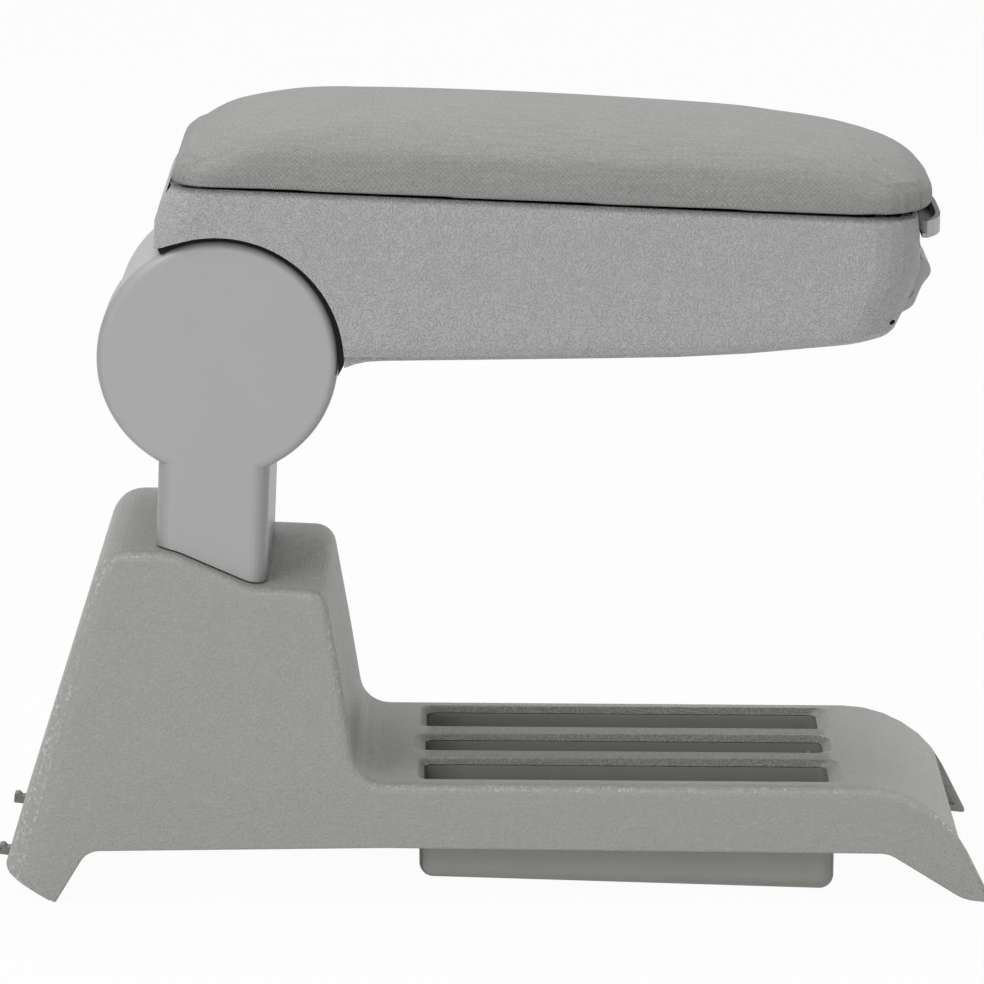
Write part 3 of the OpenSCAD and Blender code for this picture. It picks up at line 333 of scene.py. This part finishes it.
def worn_base_with_painted_light(r, skin, dullness):
    """The base is rubbed along its edges with a painted highlight there too, and has painted shade
    inside its slots, painted shadow from the arm on its tray and painted shade on its ribs.
    """
    # The turned edges between a side and the top are where hands and bags wear the skin; the
    # lighter flecks there are partly that wear and partly a painted highlight along the edges
    turned = r.math("ABSOLUTE", r.axes(r.facing)[1])
    edge = r.times(r.spread(turned, 0, 1, 0.42, 0.6), r.spread(turned, 1, 0, 0.82, 0.94))
    flecks = r.spread(r.noise(1.9 * MM, detail=4, roughness=0.65), 0, 1, 0.52, 0.6)
    patches = r.spread(r.noise(30 * MM), 0.15, 1, 0.4, 0.62)
    rub_and_highlight = r.times(edge, patches, flecks, 0.7)
    skin = r.mixed(rub_and_highlight, skin, r.tint(r.colour, flecks, 1.5, 1.9))
    dullness = r.math("SUBTRACT", dullness, r.times(rub_and_highlight, 0.16))
    # Painted shade on the walls inside the slots, where little light reaches
    low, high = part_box("slot_box")
    x, y, z = r.axes(r.place)
    up = r.spread(r.axes(r.facing)[2], 0, 1, 0.55, 0.8)
    inside = r.times(
        r.between(x, low.x - 8 * MM, high.x + 8 * MM, 0.5 * MM),
        r.between(y, low.y - 1 * MM, high.y + 1 * MM, 0.5 * MM),
        r.between(z, high.z - 6 * MM, TRAY_TOP - 0.5 * MM, 0.9 * MM))
    skin = r.darken(skin, r.times(inside, r.math("SUBTRACT", 1.0, up)), 0.6)
    # Painted shadow from the arm on the upward faces from the slot box's front end rearwards, and
    # deeper painted shade on the ribs between the slots
    tray = r.times(up, r.spread(x, 1, 0, high.x - 2 * MM, high.x + 33 * MM))
    ribs = r.times(r.between(x, SLOT_ENDS[0] + 2 * MM, SLOT_ENDS[1] - 2 * MM, 3 * MM),
                   r.between(r.math("ABSOLUTE", y), *RIB_SIDES, 1 * MM), up)
    return r.darken(r.darken(skin, tray, 0.82), ribs, 0.58), dullness


def satin_plastic(name, colour, roughness=0.34, mottle=0.025):
    """Smooth moulded plastic with faint flow marks and fine scratches, and painted shade on the
    faces that turn along x.
    """
    r = Recipe(name, colour, roughness)
    flow = r.noise(34 * MM)
    scuff = r.noise(1.0, detail=4, roughness=0.7, place=r.stretched(900, 900, 160))
    # Painted shade on the faces that turn towards the front and the rear
    turned = r.spread(r.math("ABSOLUTE", r.axes(r.facing)[0]), 0, 1, 0.25, 0.85)
    return r.finish(
        r.darken(r.tint(colour, flow, 1 - mottle, 1 + mottle), turned, 0.77),
        r.bump(scuff, 0.012 * MM, 0.6, under=r.bump(r.noise(14 * MM), 0.12 * MM, 0.35)),
        r.spread(r.noise(4 * MM, detail=3), roughness - 0.04, roughness + 0.07))


def plain_plastic(name, colour, roughness=0.5, shade=None):
    """Ungrained moulding with a fine matte skin, and a shade over part of it if wanted."""
    r = Recipe(name, colour, roughness)
    fine = r.noise(0.6 * MM)
    skin = r.tint(colour, r.noise(12 * MM), 0.93, 1.07)
    return r.finish(shade(r, skin) if shade else skin, r.bump(fine, 0.03 * MM),
                    r.spread(fine, roughness - 0.06, roughness + 0.08))


def shaded_pockets(r, skin):
    """Painted shade inside the slots: darker than the outside of their box, most of all at the
    rear.
    """
    low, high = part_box("slot_box")
    wall = 2.5 * MM
    x, y, z = r.axes(r.place)
    inside = r.times(r.between(y, low.y + wall, high.y - wall, 0.3 * MM),
                     r.spread(z, 0, 1, low.z + wall, low.z + 2 * wall))
    rear = r.spread(x, 1, 0, low.x + 2 * MM, low.x + 26 * MM)
    return r.darken(r.darken(skin, inside, 0.78), r.times(inside, rear), 0.35)


def shaded_mouth(r, skin):
    """The lip has near-black painted shade on the sides that face the casing and the lid."""
    x, y, z = r.axes(r.facing)
    _, across, height = r.axes(r.place)
    back = r.times(r.spread(x, 1, 0, -0.2, -0.05),
                   r.spread(height, 0, 1, LIP_FOOT, LIP_FOOT + 0.6 * MM))
    inward = r.spread(r.times(y, across), 1, 0, -1.0 * MM, -0.4 * MM)
    hidden = r.math("MAXIMUM", back, r.spread(z, 0, 1, 0.2, 0.4))
    return r.darken(skin, r.math("MAXIMUM", hidden, inward), 0.06)


def shaded_casing(r, skin, dullness):
    """The casing has painted shadow under the lid's edge, painted shade at the nose and near-black
    painted shade behind the lip.
    """
    x, y, z = r.axes(r.place)
    # Painted shadow just under the cloth's edge, and painted shade on the faces turned towards the
    # nose
    cloth_edge = r.math("SUBTRACT", LID_LINE - CLOTH_DROP, r.times(x, math.tan(LID_SLOPE)))
    under = r.math("SUBTRACT", cloth_edge, z)
    skin = r.darken(skin, r.spread(under, 1, 0, 0.2 * MM, 2.4 * MM), 0.34)
    skin = r.darken(skin, r.spread(r.axes(r.facing)[0], 0, 1, 0.2, 0.85), 0.84)
    # Near-black painted shade in the opening behind the lip
    mouth = r.times(r.spread(x, 0, 1, MOUTH_PLACE - 0.4 * MM, MOUTH_PLACE),
                    r.spread(r.math("ABSOLUTE", y), 1, 0, MOUTH_HALF - 1 * MM, MOUTH_HALF),
                    r.spread(z, 0, 1, MOUTH_FLOOR - 1 * MM, MOUTH_FLOOR))
    return r.darken(skin, mouth, 0.07), dullness


def metal(name, colour, roughness, streak):
    """Steel with drawn or rolled streaks."""
    r = Recipe(name, colour, roughness, metallic=1.0)
    lines = r.noise(1.0, detail=3, place=r.stretched(*streak))
    return r.finish(r.tint(colour, lines, 0.86, 1.12), r.bump(lines, 0.01 * MM),
                    r.spread(lines, roughness - 0.07, roughness + 0.1))


def soft_black(name, colour, size):
    """Felt or rubber: dark, dull and slightly uneven."""
    r = Recipe(name, colour, 0.85, specular=0.25)
    fuzz = r.noise(size, detail=4, roughness=0.75)
    return r.finish(r.tint(colour, fuzz, 0.6, 1.6), r.bump(fuzz, 0.25 * size))


def woven_cloth(name, colour, pitch):
    """Plain-weave upholstery cloth on the piece's own cloth map."""
    r = Recipe(name, colour, 0.82, specular=0.22)
    r.shader.inputs["Sheen Weight"].default_value = 0.12
    r.shader.inputs["Sheen Roughness"].default_value = 0.45
    u, v, _ = r.axes(r.add("ShaderNodeUVMap", uv_map="cloth").outputs["UV"])
    # Threads wander a little, so their lines aren't ruler straight
    wander = r.times(r.noise(9 * MM), 0.9)
    turn = 2 * math.pi / pitch
    along = r.math("ADD", r.times(u, turn), wander)
    across = r.math("ADD", r.times(v, turn), wander)
    threads = r.times(r.math("SINE", along), r.math("SINE", across))
    check = r.times(r.math("SINE", r.times(along, 0.5)), r.math("SINE", r.times(across, 0.5)))
    height = r.math("ADD", threads, r.times(check, 0.25))
    slub = r.noise(1.0, detail=3, place=r.stretched(60, 700, 700))
    cloud = r.noise(40 * MM, detail=3)
    fleck = r.noise(pitch * 0.9)
    colour = r.mixed(
        r.spread(r.math("ADD", height, r.times(fleck, 1.6)), 0, 1, -0.4, 2.0),
        r.tint(colour, cloud, 0.5, 0.58),
        r.tint(colour, r.spread(slub, 0, 1, 0.35, 0.65), 1.34, 1.54))
    return r.finish(colour, r.bump(height, 0.07 * MM, 0.8, under=r.bump(cloud, 0.6 * MM, 0.25)),
                    r.spread(slub, 0.76, 0.9))


def dress(material, *names):
    """Gives CAD nodes a material."""
    for name in names:
        for slot in NODES[name].material_slots:
            slot.material = material


def only(obj):
    """Deselects everything else and makes obj the active object."""
    bpy.ops.object.select_all(action="DESELECT")
    obj.select_set(True)
    bpy.context.view_layer.objects.active = obj


def points_of(mesh, kind="co"):
    """The place of each point of a mesh, or its normal."""
    values = np.empty(len(mesh.vertices) * 3)
    mesh.vertices.foreach_get(kind, values)
    return values.reshape(-1, 3)


def move_points(mesh, co):
    """Puts each point of a mesh at its new place."""
    mesh.vertices.foreach_set("co", co.ravel())
    mesh.update()


# Operators

class ARMREST_OT_plastics(bpy.types.Operator):
    """Gives the base, the column, the casing and the small mouldings their plastics"""
    bl_idname = "armrest.plastics"
    bl_label = "Moulded plastics"

    def execute(self, context):
        p = context.scene.armrest_plastics
        dress(grained_plastic("base_grain", tuple(p.base), p.grain_size, p.grain_depth,
                              (0.4, 0.58), 0.03, worn_base_with_painted_light), "console_base")
        dress(grained_plastic("casing_grain", tuple(p.casing), p.grain_size * 0.85,
                              p.grain_depth * 1.8, (0.42, 0.6), 0.065, shaded_casing),
              "arm_casing")
        dress(satin_plastic("column_satin", tuple(p.column)), "post_cover", "post_shell")
        dress(plain_plastic("box_matte", tuple(p.box), 0.5, shaded_pockets), "slot_box")
        dress(plain_plastic("clip_matte", tuple(p.clip), 0.55), "rear_clips")
        dress(plain_plastic("lip_matte", tuple(p.lip), 0.42, shaded_mouth), "lid_latch")
        dress(plain_plastic("lever_matte", tuple(p.lip), 0.42), "release_lever")
        dress(plain_plastic("tray_black", SLOT_COLOUR["black_plastic"], 0.6),
              "lid_tray", "slot_shutter")
        dress(plain_plastic("liner_black", SLOT_COLOUR["liner_plastic"], 0.6), "storage_box")
        dress(plain_plastic("bush_nylon", SLOT_COLOUR["nylon"], 0.4), "pivot_bushes")
        dress(soft_black("mat_felt", SLOT_COLOUR["felt"], 0.7 * MM), "box_mat")
        dress(soft_black("bumper_rubber", SLOT_COLOUR["rubber"], 1.5 * MM), "lid_bumpers")
        return {"FINISHED"}


class ARMREST_OT_steel(bpy.types.Operator):
    """Gives the plates, shafts, springs and screws their metals"""
    bl_idname = "armrest.steel"
    bl_label = "Steel and fasteners"

    def execute(self, context):
        dress(metal("steel_plate", SLOT_COLOUR["steel_plate"], 0.42, (60, 60, 900)),
              "post_frame", "arm_frame", "pull_rod", "lid_striker")
        dress(metal("bright_steel", SLOT_COLOUR["bright_steel"], 0.25, (900, 60, 900)),
              "pivot_shaft", "lid_hinge_pin", "lever_pin", "pawl_pin", "latch_pin")
        dress(metal("sintered_steel", SLOT_COLOUR["sintered_steel"], 0.5, (700, 700, 700)),
              "ratchet_wheel", "pawl")
        dress(metal("spring_wire", SLOT_COLOUR["spring_wire"], 0.3, (900, 900, 200)),
              "lever_spring", "pawl_spring", "latch_spring")
        dress(metal("zinc_screw", SLOT_COLOUR["zinc_screw"], 0.45, (400, 400, 400)),
              "base_screws", "shell_screws", "frame_screws", "shaft_nut", "striker_screws")
        return {"FINISHED"}


class ARMREST_OT_lid_cover(bpy.types.Operator):
    """Makes the padded lid: cloth drawn over foam, simulated from the pad's own form"""
    bl_idname = "armrest.lid_cover"
    bl_label = "Padded lid"

    def execute(self, context):
        p = context.scene.armrest_cloth
        cover = bpy.data.objects.new("lid_cover", NODES["lid_pad"].data.copy())
        context.scene.collection.objects.link(cover)
        only(cover)
        bpy.ops.object.mode_set(mode="EDIT")
        bpy.ops.mesh.select_all(action="SELECT")
        bpy.ops.mesh.remove_doubles(threshold=0.01 * MM)
        bpy.ops.mesh.normals_make_consistent(inside=False)
        bpy.ops.object.mode_set(mode="OBJECT")
        cover.data.remesh_voxel_size = p.voxel
        cover.data.remesh_voxel_adaptivity = 0
        cover.data.use_remesh_preserve_volume = True
        bpy.ops.object.voxel_remesh()
        self.draw_in(cover, p.inset)
        self.inflate(context, cover, p)
        smooth = cover.modifiers.new("smooth", "SMOOTH")
        smooth.factor = 0.5
        smooth.iterations = 6
        smooth.vertex_group = "free"
        bpy.ops.object.modifier_apply(modifier="smooth")
        # Where the tray holds the cloth, it keeps the pad's own outline
        held = cover.modifiers.new("held", "SHRINKWRAP")
        held.target = NODES["lid_pad"]
        held.vertex_group = "held"
        bpy.ops.object.modifier_apply(modifier="held")
        self.square_corners(cover)
        finer = cover.modifiers.new("finer", "SUBSURF")
        finer.levels = finer.render_levels = 1
        bpy.ops.object.modifier_apply(modifier="finer")
        bpy.ops.object.shade_smooth()
        self.map_cloth(cover)
        cover.vertex_groups.clear()
        cover.data.materials.clear()
        cover.data.materials.append(woven_cloth("lid_cloth", tuple(p.colour), p.thread))
        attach(cover, "lid")
        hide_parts("lid_pad")
        return {"FINISHED"}

    def draw_in(self, cover, inset):
        """Marks what the tray holds, and starts the rest slightly inside its outline."""
        co = points_of(cover.data)
        above = co[:, 2] - lid_height(co[:, 0])
        free = np.clip((above - 2.5 * MM) / (9 * MM), 0, 1)
        low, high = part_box("lid_tray")
        centre = (low + high) / 2
        half = (high - low) / 2
        off = np.maximum(abs(co[:, 0] - centre.x) / half.x, abs(co[:, 1]) / half.y)
        free[(off < 0.985) & (above < 12 * MM)] = 0
        normals = points_of(cover.data, "normal")
        move_points(cover.data, co - normals * (free * inset)[:, None])
        held = cover.vertex_groups.new(name="held")
        loose = cover.vertex_groups.new(name="free")
        for i, weight in enumerate(free.tolist()):
            held.add([i], 1 - weight ** 2, "REPLACE")
            loose.add([i], weight, "REPLACE")

    def inflate(self, context, cover, p):
        """Swells the pad with the cloth solver and caps how far each point goes."""
        start = points_of(cover.data)
        cloth = cover.modifiers.new("cloth", "CLOTH")
        stuff = cloth.settings
        stuff.quality = 5
        stuff.mass = 0.3
        stuff.tension_stiffness = stuff.compression_stiffness = 40
        stuff.shear_stiffness = 20
        stuff.bending_stiffness = 1.5
        stuff.use_pressure = True
        stuff.uniform_pressure_force = p.pressure
        stuff.effector_weights.gravity = 0
        stuff.vertex_group_mass = "held"
        cloth.collision_settings.use_collision = False
        cloth.point_cache.frame_start = 1
        cloth.point_cache.frame_end = CLOTH_FRAMES
        for frame_number in range(1, CLOTH_FRAMES + 1):
            context.scene.frame_set(frame_number)
        only(cover)
        bpy.ops.object.modifier_apply(modifier="cloth")
        context.scene.frame_set(1)
        moved = points_of(cover.data) - start
        length = np.maximum(np.linalg.norm(moved, axis=1), 1e-9)
        moved *= np.minimum(1, p.swell / length)[:, None]
        move_points(cover.data, start + moved)

    def square_corners(self, cover):
        """Pulls the cloth out over the tray's rear corners, where it is wrapped round them."""
        co = points_of(cover.data)
        was = np.interp(co[:, 0], CORNER_PLACES, CORNER_ROUND)
        wanted = np.interp(co[:, 0], CORNER_PLACES, CORNER_SQUARE)
        above = co[:, 2] - lid_height(co[:, 0])
        fade = np.clip((40 * MM - above) / (26 * MM), 0, 1)
        co[:, 1] *= 1 + (wanted / was - 1) * fade
        # The cloth's lower edge hangs close over the casing
        co[:, 2] -= CLOTH_DROP * np.clip((4 * MM - above) / (3 * MM), 0, 1)
        move_points(cover.data, co)

    def map_cloth(self, cover):
        """Lays the cloth's threads over the top and down the sides, in metres."""
        mesh = cover.data
        co = points_of(mesh)
        drop = co[:, 2].max() - co[:, 2]
        lean = abs(points_of(mesh, "normal"))
        side = np.clip(lean[:, 1] * 1.6, 0, 1) * np.sign(co[:, 1])
        end = np.clip(lean[:, 0] * 1.6 - lean[:, 1], 0, 1) * np.sign(co[:, 0])
        u = co[:, 0] + end * drop
        v = co[:, 1] + side * drop
        layer = mesh.uv_layers.new(name="cloth")
        loops = np.empty(len(mesh.loops), np.int32)
        mesh.loops.foreach_get("vertex_index", loops)
        layer.data.foreach_set("uv", np.stack([u[loops], v[loops]], 1).ravel())


class ARMREST_OT_skins(bpy.types.Operator):
    """Evens out the base's sides and the casing's lower rim, and puts black strips of painted shade
    in the gap round the cover
    """
    bl_idname = "armrest.skins"
    bl_label = "Skins and painted gap shade"

    def execute(self, context):
        self.even_base(context)
        self.even_casing(context)
        self.paint_gap_shade(context)
        return {"FINISHED"}

    def even_base(self, context):
        """Sets the bosses inside back where they show through the leaning sides by a hair."""
        base, co = self.skin(context, "console_base", "console_skin", "base", "base_plastic")
        side = BASE_HALF - BASE_LEAN * co[:, 2]
        low, high = BOSS_HEIGHTS
        through = (abs(co[:, 1]) > side + 0.01 * MM) & (co[:, 2] > low) & (co[:, 2] < high)
        through &= np.min([abs(co[:, 0] - x) for x in BOSS_PLACES], axis=0) < BOSS_REACH
        co[through, 1] = (np.sign(co[:, 1]) * (side - 0.05 * MM))[through]
        move_points(base.data, co)

    def even_casing(self, context):
        """Takes in the plate that stands out from the casing's lower rim beside the saddle."""
        casing, co = self.skin(context, "arm_casing", "casing_skin", "arm", "casing_plastic")
        low, high = RIM_ENDS
        rim = (co[:, 0] > low) & (co[:, 0] < high) & (co[:, 2] < RIM_TOP)
        rim &= (abs(abs(co[:, 1]) - RIM_HALF) < 0.02 * MM)
        co[rim, 1] -= np.sign(co[rim, 1]) * RIM_STEP
        move_points(casing.data, co)

    def skin(self, context, node, name, body, slot):
        """A copy of a CAD node to finish, and its points."""
        skin = bpy.data.objects.new(name, NODES[node].data.copy())
        context.scene.collection.objects.link(skin)
        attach(skin, body)
        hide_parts(node)
        return skin, points_of(skin.data)

    def paint_gap_shade(self, context):
        """Near-black strips on the saddle, close to the rims of the round covers, as painted shade
        in the gap.
        """
        # The strips are painted shade: the felt colour darkened to near black
        felt = soft_black("gap_shade_black", tuple(c * 0.3 for c in SLOT_COLOUR["felt"]), 0.7 * MM)
        start, end = SHADE_STRIP_ENDS
        for name, near in SHADE_STRIP_SIDES:
            bpy.ops.object.select_all(action="DESELECT")
            bpy.ops.mesh.primitive_plane_add(size=1, calc_uvs=False)
            strip = context.object
            strip.name = strip.data.name = name
            # The plane becomes the strip's cross-section at its lower end
            co = points_of(strip.data)
            radius = np.where(co[:, 0] > 0, SHADE_STRIP_OUTER, SHADE_STRIP_INNER)
            across = near + (co[:, 1] + 0.5) * SHADE_STRIP_WIDTH
            move_points(strip.data, np.stack([PIVOT.x + radius * math.cos(start), across,
                                              PIVOT.z + radius * math.sin(start)], 1))
            bpy.ops.object.mode_set(mode="EDIT")
            bpy.ops.mesh.select_all(action="SELECT")
            bpy.ops.mesh.spin(steps=SHADE_STRIP_STEPS, angle=end - start, center=PIVOT,
                              axis=(0, 1, 0))
            bpy.ops.mesh.select_all(action="SELECT")
            bpy.ops.mesh.normals_make_consistent(inside=False)
            bpy.ops.object.mode_set(mode="OBJECT")
            self.thin_end(strip.data)
            strip.data.materials.append(felt)
            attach(strip, "arm")

    def thin_end(self, mesh):
        """Thins a strip towards its lower end, where the casing's wall runs out."""
        co = points_of(mesh)
        off = co[:, [0, 2]] - np.array((PIVOT.x, PIVOT.z))
        radius = np.hypot(*off.T)
        turn = np.arctan2(off[:, 1], off[:, 0])
        thinned = SHADE_STRIP_INNER + (radius - SHADE_STRIP_INNER) * np.clip((turn + 0.135) / 0.1, 0.1, 1)
        co[:, [0, 2]] += off * (thinned / radius - 1)[:, None]
        move_points(mesh, co)


class ARMREST_OT_studio(bpy.types.Operator):
    """Sets the pale floor, the soft lamps and the camera"""
    bl_idname = "armrest.studio"
    bl_label = "Studio"

    def execute(self, context):
        p = context.scene.armrest_studio
        self.floor(context, p)
        self.surroundings(context, p)
        aim = Vector((0, 0, p.aim))
        for name, place, width, power in LAMPS:
            self.lamp(context, name, aim, place, width, power)
        self.camera(context, p, aim)
        context.scene.view_settings.view_transform = "Standard"
        return {"FINISHED"}

    def pale(self, tree, surface, out, p, share):
        """Shows a share of the backdrop's colour to the camera, mirrors and glass."""
        rays = tree.nodes.new("ShaderNodeLightPath").outputs
        seen = arithmetic(tree, "MAXIMUM", rays["Is Camera Ray"], rays["Is Glossy Ray"])
        seen = arithmetic(tree, "MAXIMUM", seen, rays["Is Transmission Ray"])
        seen = arithmetic(tree, "MULTIPLY", seen, share)
        mix = tree.nodes.new("ShaderNodeMixShader")
        tree.links.new(seen, mix.inputs[0])
        tree.links.new(surface, mix.inputs[1])
        shown = tree.nodes.new("ShaderNodeEmission" if share < 1 else "ShaderNodeBackground")
        shown.inputs["Color"].default_value = (*p.backdrop, 1)
        tree.links.new(shown.outputs[0], mix.inputs[2])
        tree.links.new(mix.outputs[0], out)

    def floor(self, context, p):
        """The pale floor, which keeps the armrest's shadow."""
        bpy.ops.object.select_all(action="DESELECT")
        bpy.ops.mesh.primitive_plane_add(size=FLOOR_SIZE, location=(0, 0, 0))
        floor = context.object
        floor.name = "floor"
        material = bpy.data.materials.new("pale_floor")
        material.use_nodes = True
        tree = material.node_tree
        shader = tree.nodes["Principled BSDF"]
        shader.inputs["Base Color"].default_value = (*FLOOR_COLOUR, 1)
        shader.inputs["Roughness"].default_value = 0.9
        shader.inputs["Specular IOR Level"].default_value = 0
        self.pale(tree, shader.outputs[0], tree.nodes["Material Output"].inputs["Surface"], p, 0.97)
        floor.data.materials.append(material)

    def surroundings(self, context, p):
        """Even white light from all round, behind the backdrop's colour."""
        world = bpy.data.worlds.new("studio")
        world.use_nodes = True
        context.scene.world = world
        tree = world.node_tree
        light = tree.nodes["Background"]
        light.inputs["Color"].default_value = (1, 1, 1, 1)
        light.inputs["Strength"].default_value = p.daylight
        self.pale(tree, light.outputs[0], tree.nodes["World Output"].inputs["Surface"], p, 1.0)

    def lamp(self, context, name, aim, place, width, power):
        """A round soft lamp that faces the aim."""
        data = bpy.data.lights.new(name, "AREA")
        data.shape = "DISK"
        data.size = width
        data.energy = power
        lamp = bpy.data.objects.new(name, data)
        context.scene.collection.objects.link(lamp)
        lamp.location = aim + Vector(place)
        lamp.rotation_euler = Vector(place).to_track_quat("Z", "Y").to_euler()

    def camera(self, context, p, aim):
        """A long lens in front of the armrest, looking slightly down."""
        data = bpy.data.cameras.new("camera")
        data.sensor_width = 36
        data.lens = LENS
        data.clip_start = 0.05
        data.clip_end = 50
        camera = bpy.data.objects.new("camera", data)
        context.scene.collection.objects.link(camera)
        away = Vector((0, -math.cos(p.elevation), math.sin(p.elevation)))
        camera.location = aim + away * p.distance
        camera.rotation_euler = (math.pi / 2 - p.elevation, 0, 0)
        context.scene.camera = camera


class ARMREST_PT_parts(bpy.types.Panel):
    """Shows the armrest's settings and the steps that dress it"""
    bl_idname = "ARMREST_PT_parts"
    bl_label = "Armrest"
    bl_space_type = "VIEW_3D"
    bl_region_type = "UI"
    bl_category = "Armrest"

    def draw(self, context):
        column = self.layout.column()
        for attribute in SETTINGS:
            group = getattr(context.scene, attribute)
            box = column.box()
            for name in group.bl_rna.properties.keys():
                if name not in {"rna_type", "name"}:
                    box.prop(group, name)
        for step in STEPS:
            column.operator(step.bl_idname)


STEPS = (ARMREST_OT_plastics, ARMREST_OT_steel, ARMREST_OT_skins, ARMREST_OT_lid_cover,
         ARMREST_OT_studio)
SETTINGS = {"armrest_plastics": ArmrestPlastics, "armrest_cloth": ArmrestCloth,
            "armrest_studio": ArmrestStudio}
CLASSES = (*SETTINGS.values(), *STEPS, ARMREST_PT_parts)


def register():
    for cls in CLASSES:
        bpy.utils.register_class(cls)
    for attribute, group in SETTINGS.items():
        setattr(bpy.types.Scene, attribute, bpy.props.PointerProperty(type=group))


def unregister():
    for attribute in SETTINGS:
        delattr(bpy.types.Scene, attribute)
    for cls in reversed(CLASSES):
        bpy.utils.unregister_class(cls)


def main():
    register()
    bpy.ops.armrest.plastics()
    bpy.ops.armrest.steel()
    bpy.ops.armrest.skins()
    bpy.ops.armrest.lid_cover()
    bpy.ops.armrest.studio()


if __name__ == "__main__":
    main()
